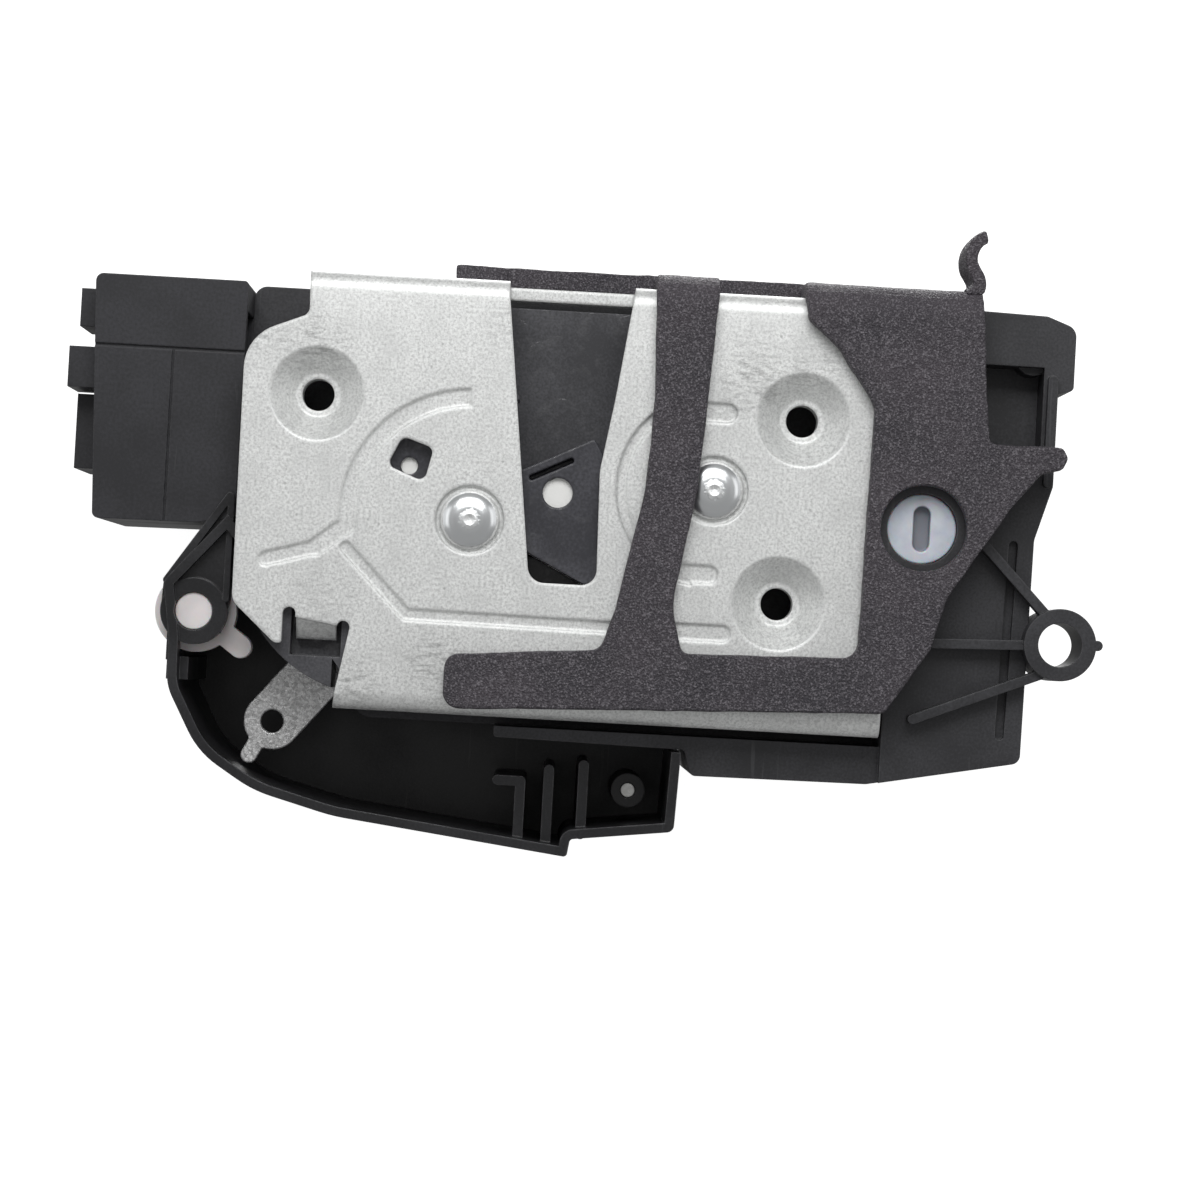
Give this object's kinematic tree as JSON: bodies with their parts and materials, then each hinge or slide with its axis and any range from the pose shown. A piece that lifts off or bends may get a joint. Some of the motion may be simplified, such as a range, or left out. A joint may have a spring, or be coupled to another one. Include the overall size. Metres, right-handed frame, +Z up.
{
  "type": "door latch actuator",
  "caption": "Vehicle door latch with rotary claw and pawl behind a pressed steel plate, foam gasket, release and key levers, and a motor-driven lock in a black housing.",
  "frame": {"origin": "axis of the striker wire when latched, at the outer face of the latch plate", "axes": "+X along the latch plate, +Z up, +Y into the depth of the door, so the striker comes from -Y"},
  "size_m": [0.1632, 0.0556, 0.1004],
  "materials": {
    "zinc_sheet": "zinc plated pressed sheet",
    "back_steel": "zinc plated sheet",
    "bright_rivet": "bright zinc",
    "blanked_steel": "blanked steel, oiled",
    "spangled_steel": "spangled zinc",
    "spring_wire": "drawn spring wire",
    "glossy_black": "satin overmoulding",
    "black_moulding": "fine grained moulding",
    "black_switch": "moulded",
    "black_rubber": "soft rubber",
    "dark_foam": "open grained foam",
    "knob_white": "milky plastic",
    "lever_white": "natural acetal",
    "screw_steel": "bright zinc",
    "motor_can": "drawn can",
    "worm_brass": "turned brass",
    "tinned_copper": "tinned copper"
  },
  "bodies": {
    "root": {"latch_plate": "zinc_sheet", "back_plate": "back_steel", "latch_housing": "black_moulding", "claw_rivet": "bright_rivet", "claw_spring": "spring_wire", "pawl_rivet": "bright_rivet", "pawl_spring": "spring_wire", "striker_bumper": "black_rubber", "ajar_switch": "black_switch", "release_lever_pin": "bright_rivet", "release_spring": "spring_wire", "inside_lever_pin": "bright_rivet", "inside_spring": "spring_wire", "actuator_case": "black_moulding", "side_mount": "black_moulding", "cover_seal": "black_rubber", "actuator_cover": "black_moulding", "cover_screws": "screw_steel", "lock_motor": "motor_can", "motor_end_cap": "black_switch", "gear_axle": "screw_steel", "lock_switch": "black_switch", "connector_shroud": "black_moulding", "connector_insert": "black_moulding", "connector_pins": "tinned_copper", "copper_tracks": "tinned_copper", "guard_tray": "black_moulding", "tray_screw": "screw_steel", "foam_gasket": "dark_foam", "foam_tail": "dark_foam"},
    "claw": {"claw_core": "blanked_steel", "claw_overmould": "glossy_black"},
    "pawl": {"pawl_core": "blanked_steel", "pawl_overmould": "glossy_black", "pawl_lift_pin": "bright_rivet", "pawl_lift_lever": "spangled_steel"},
    "release": {"release_lever": "spangled_steel"},
    "inside": {"inside_lever": "spangled_steel"},
    "key": {"key_lever": "lever_white"},
    "knob": {"child_lock_knob": "knob_white"},
    "gear": {"lock_gear": "lever_white"},
    "worm": {"motor_shaft": "screw_steel", "worm": "worm_brass"},
    "link": {"lock_link": "lever_white"},
    "ajar_button": {"ajar_plunger": "lever_white"},
    "lock_button": {"lock_plunger": "lever_white"}
  },
  "joints": [
    {"name": "claw_turn", "type": "hinge", "parent": "root", "child": "claw", "pos_m": [-0.0144, 0.006, 0.0031], "axis": [0, 1, 0], "range_deg": [0, 76], "stiffness_Nm_per_rad": 0.06, "springref_deg": -34.38, "deforming": ["claw_spring"]},
    {"name": "pawl_turn", "type": "hinge", "parent": "root", "child": "pawl", "pos_m": [0.0229, 0.006, 0.0097], "axis": [0, 1, 0], "range_deg": [0, 7], "stiffness_Nm_per_rad": 0.1, "deforming": ["pawl_spring"]},
    {"name": "release_turn", "type": "hinge", "parent": "root", "child": "release", "pos_m": [-0.028, 0.0187, -0.003], "axis": [0, 1, 0], "range_deg": [0, 11], "stiffness_Nm_per_rad": 0.15, "springref_deg": -22.92, "deforming": ["release_spring"]},
    {"name": "inside_turn", "type": "hinge", "parent": "root", "child": "inside", "pos_m": [0.026, 0.0187, -0.016], "axis": [0, 1, 0], "range_deg": [0, 14], "stiffness_Nm_per_rad": 0.15, "springref_deg": -22.92, "deforming": ["inside_spring"]},
    {"name": "key_turn", "type": "hinge", "parent": "root", "child": "key", "pos_m": [-0.0566, 0.012, -0.0132], "axis": [0, 1, 0], "range_deg": [-20, 20], "stiffness_Nm_per_rad": 0.01},
    {"name": "child_lock_turn", "type": "hinge", "parent": "root", "child": "knob", "pos_m": [0.0553, 0.005, 0.0056], "axis": [0, -1, 0], "range_deg": [0, 90]},
    {"name": "lock_gear_turn", "type": "hinge", "parent": "root", "child": "gear", "pos_m": [-0.004, 0.0357, 0.0095], "axis": [0, 1, 0], "range_deg": [0, 60]},
    {"name": "worm_spin", "type": "hinge", "parent": "root", "child": "worm", "pos_m": [0, 0.0357, 0.0234], "axis": [-1, 0, 0], "range_deg": [0, 1800]},
    {"name": "link_slide", "type": "slide", "parent": "root", "child": "link", "axis": [-1, 0, 0], "range_m": [0, 0.006]},
    {"name": "ajar_press", "type": "slide", "parent": "root", "child": "ajar_button", "axis": [-1, 0, 0], "range_m": [0, 0.001], "stiffness_N_per_m": 150, "springref_m": -0.002},
    {"name": "lock_press", "type": "slide", "parent": "root", "child": "lock_button", "axis": [-1, 0, 0], "range_m": [0, 0.001], "stiffness_N_per_m": 150, "springref_m": -0.002}
  ],
  "couplings": [
    {"joint": "worm_spin", "follows": "lock_gear_turn", "ratio": 30},
    {"joint": "link_slide", "follows": "lock_gear_turn", "m_per_rad": 0.005729}
  ]
}
